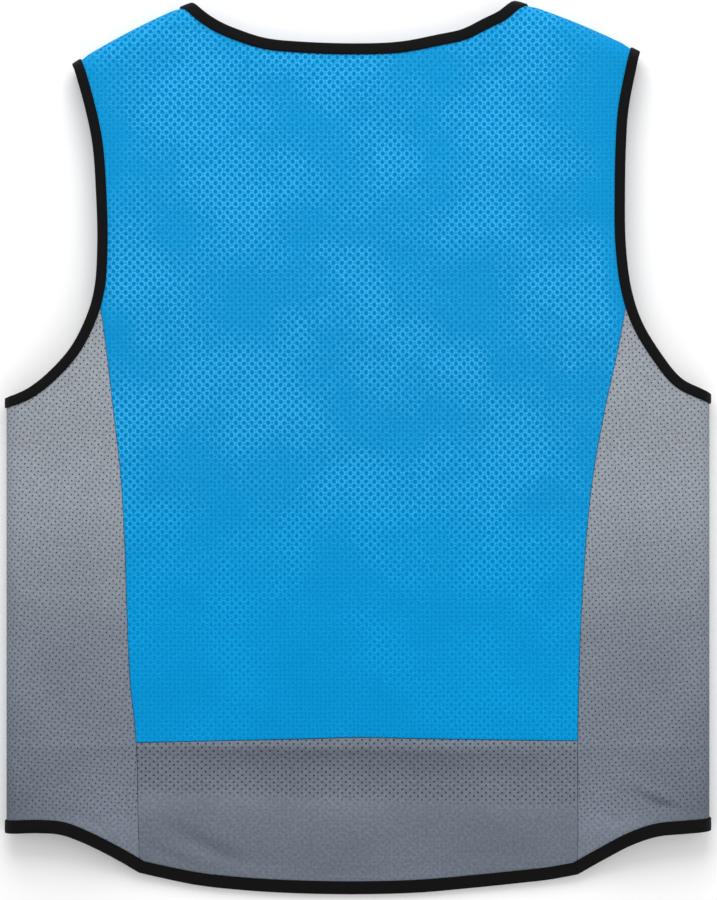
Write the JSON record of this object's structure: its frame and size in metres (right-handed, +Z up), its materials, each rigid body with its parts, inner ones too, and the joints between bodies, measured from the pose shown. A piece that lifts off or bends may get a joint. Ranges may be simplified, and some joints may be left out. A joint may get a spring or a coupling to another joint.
{
  "type": "cooling vest",
  "caption": "Sleeveless pull-over cooling vest laid flat, back up: blue honeycomb cloth body, grey perforated mesh sides and lower band, black folded binding round neck, armholes and hem.",
  "frame": {"origin": "middle of the laid vest's footprint, on the surface it lies on", "axes": "+Z up out of the vest's back, +Y from the hem to the neck, +X to the right as seen from above"},
  "size_m": [0.5402, 0.6844, 0.0302],
  "materials": {
    "blue_cloth": "matte",
    "grey_mesh": "matte",
    "black_tape": "matte"
  },
  "bodies": {
    "root": {"back_panel": "blue_cloth", "front_panel": "blue_cloth", "lower_back_panel": "grey_mesh", "lower_front_panel": "grey_mesh", "side_panel_left": "grey_mesh", "side_panel_right": "grey_mesh", "neck_binding": "black_tape", "armhole_binding_left": "black_tape", "armhole_binding_right": "black_tape", "hem_binding": "black_tape"}
  },
  "joints": []
}
